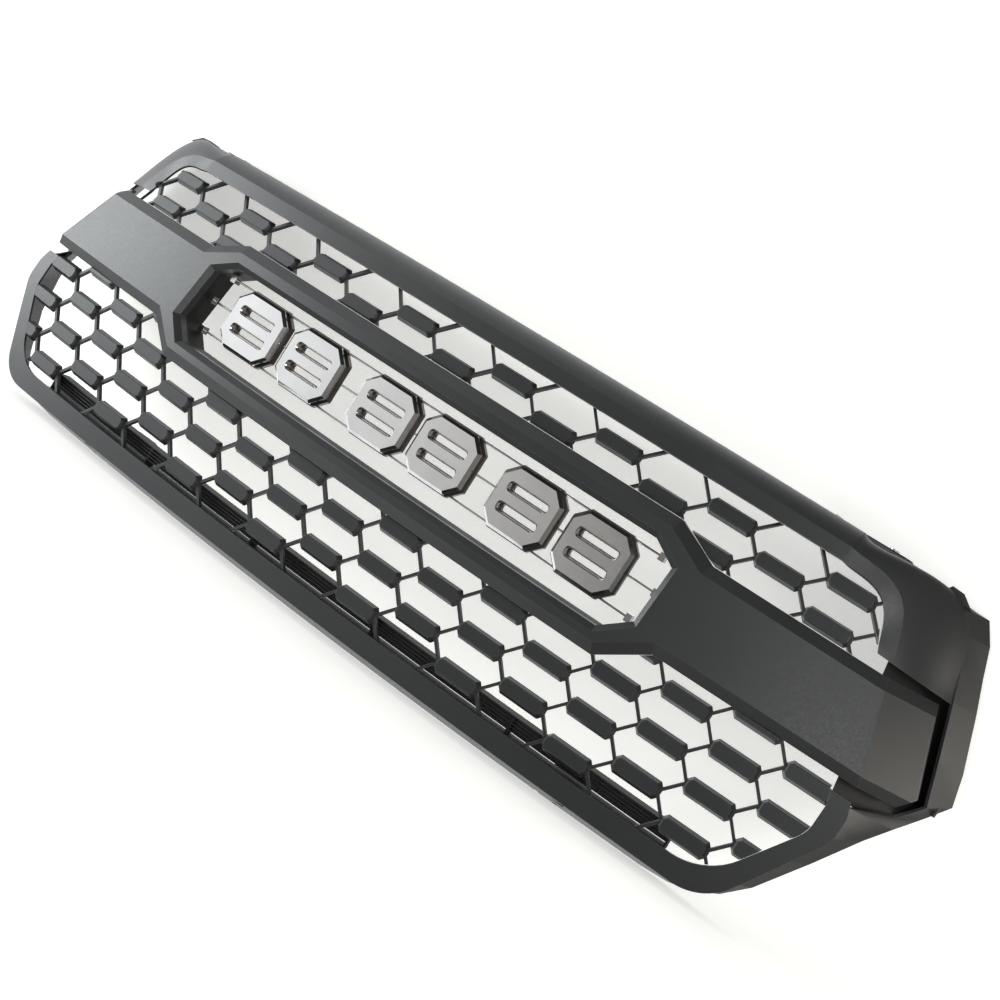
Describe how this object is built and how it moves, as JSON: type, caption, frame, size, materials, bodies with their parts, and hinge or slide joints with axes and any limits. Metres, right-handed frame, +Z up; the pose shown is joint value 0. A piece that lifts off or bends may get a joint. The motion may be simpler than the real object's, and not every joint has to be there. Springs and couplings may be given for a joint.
{
  "type": "front grille",
  "caption": "Curved vehicle front grille with a honeycomb of pads above and below a crossbar, a bright badge row in its ring, and rear mounting brackets.",
  "frame": {"origin": "midway between the two upper mounting holes, on the seating plane under the upper brackets", "axes": "+X to the right seen from the front, +Y towards the vehicle, +Z up; the grille faces -Y"},
  "size_m": [1.177, 0.2152, 0.3565],
  "materials": {
    "satin_black": "satin black painted ABS",
    "mesh_black": "satin moulded ABS",
    "inner_black": "matte moulded black",
    "badge_chrome": "bright chrome plate",
    "badge_backing": "dark smoked plating",
    "wire_chrome": "bright plated wire",
    "bracket_steel": "black e-coated steel",
    "fastener_steel": "zinc plated"
  },
  "bodies": {
    "root": {"base_shell": "satin_black", "lower_trim": "satin_black", "upper_trim": "satin_black", "crossbar": "satin_black", "lower_mesh": "mesh_black", "upper_mesh": "mesh_black", "louvre": "inner_black", "ring_sleeve": "inner_black", "recess_liner_left": "inner_black", "recess_liner_right": "inner_black", "badge_1": "badge_chrome", "badge_2": "badge_chrome", "badge_3": "badge_chrome", "badge_4": "badge_chrome", "badge_5": "badge_chrome", "badge_6": "badge_chrome", "badge_plate_1": "badge_backing", "badge_plate_2": "badge_backing", "badge_plate_3": "badge_backing", "badge_plate_4": "badge_backing", "badge_plate_5": "badge_backing", "badge_plate_6": "badge_backing", "badge_wires": "wire_chrome", "upper_bracket_left": "bracket_steel", "upper_bracket_right": "bracket_steel", "lower_bracket_left": "bracket_steel", "lower_bracket_right": "bracket_steel", "bracket_screws": "fastener_steel", "lower_trim_nuts": "fastener_steel", "upper_trim_nuts": "fastener_steel", "badge_nuts": "fastener_steel"}
  },
  "joints": []
}
